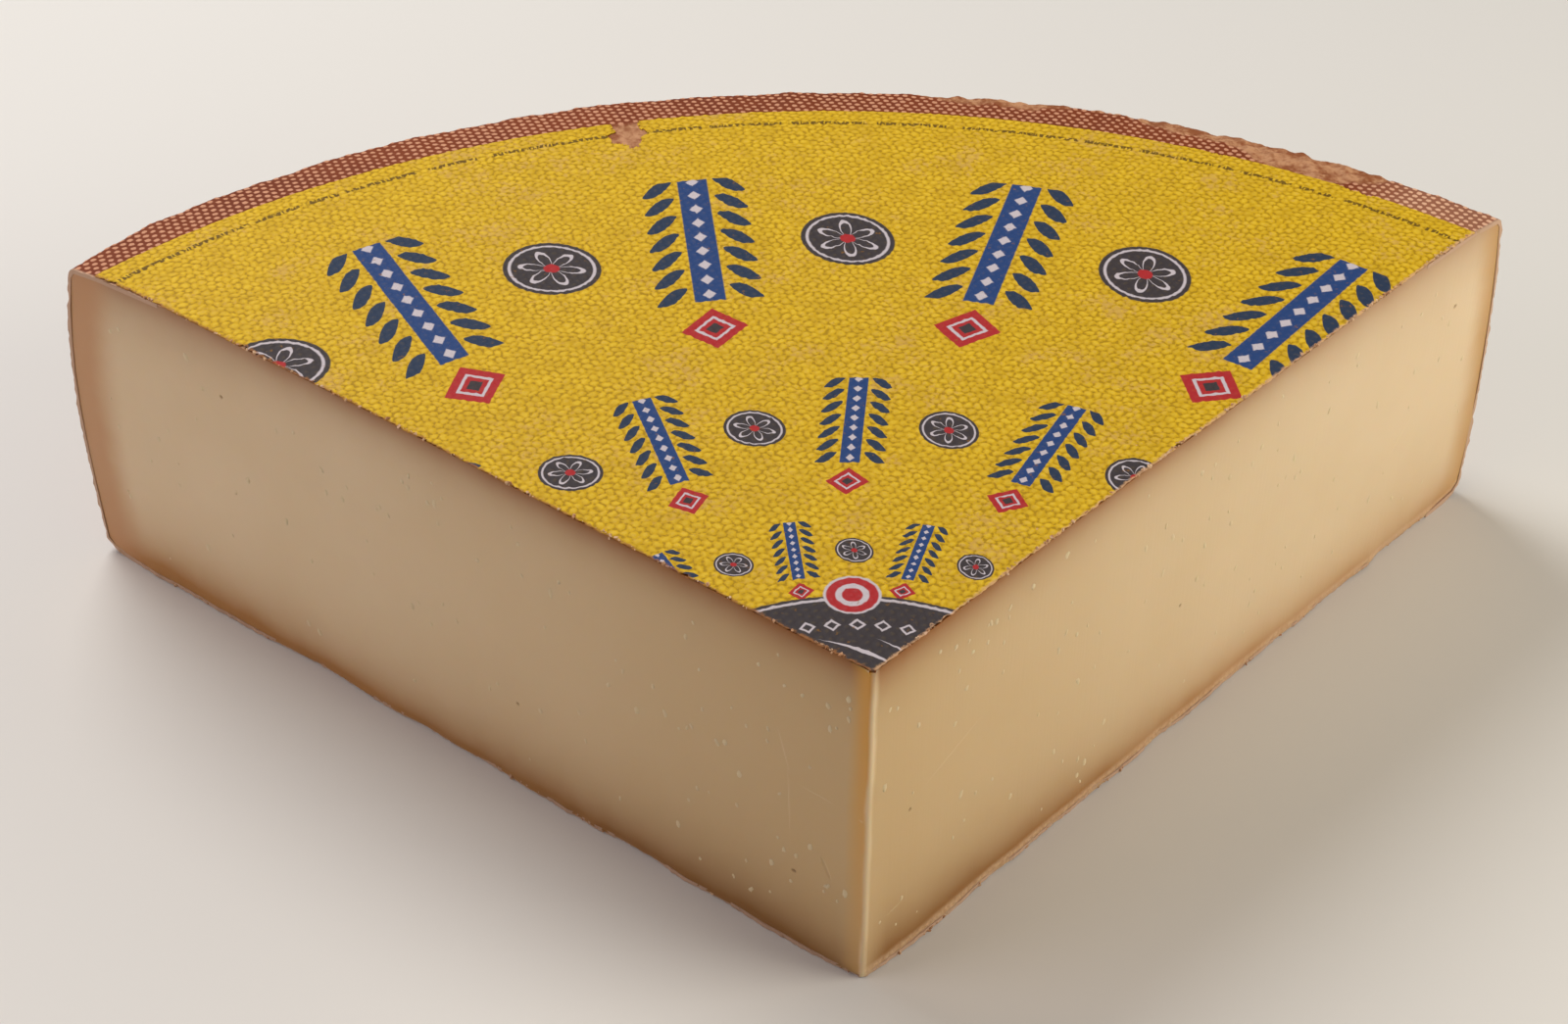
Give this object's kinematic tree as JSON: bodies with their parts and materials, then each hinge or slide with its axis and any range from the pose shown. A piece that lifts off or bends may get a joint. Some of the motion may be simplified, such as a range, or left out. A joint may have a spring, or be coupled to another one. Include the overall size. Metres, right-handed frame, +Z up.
{
  "type": "quarter wheel of hard cheese",
  "caption": "Cut wedge of a large hard cheese wheel: flat knife cuts, a bulging heel, cloth-marked rind and a thin printed paper label on top.",
  "frame": {"origin": "middle of the footprint's bounding box, on the surface it stands on", "axes": "+Z up; the wedge's point looks towards -Y and its rounded heel towards +Y; +X runs along the widest span, from cut to cut"},
  "size_m": [0.423, 0.2794, 0.1087],
  "materials": {
    "cheese": "pale ivory-tan paste with a waxy cut, browner under a reddish-brown washed rind with a coarse cloth imprint",
    "label": "thin matt paper printed yellow with blue, charcoal and red ornaments, pressed into the cloth imprint and worn"
  },
  "bodies": {
    "root": {"cheese": "cheese", "label": "label"}
  },
  "joints": []
}
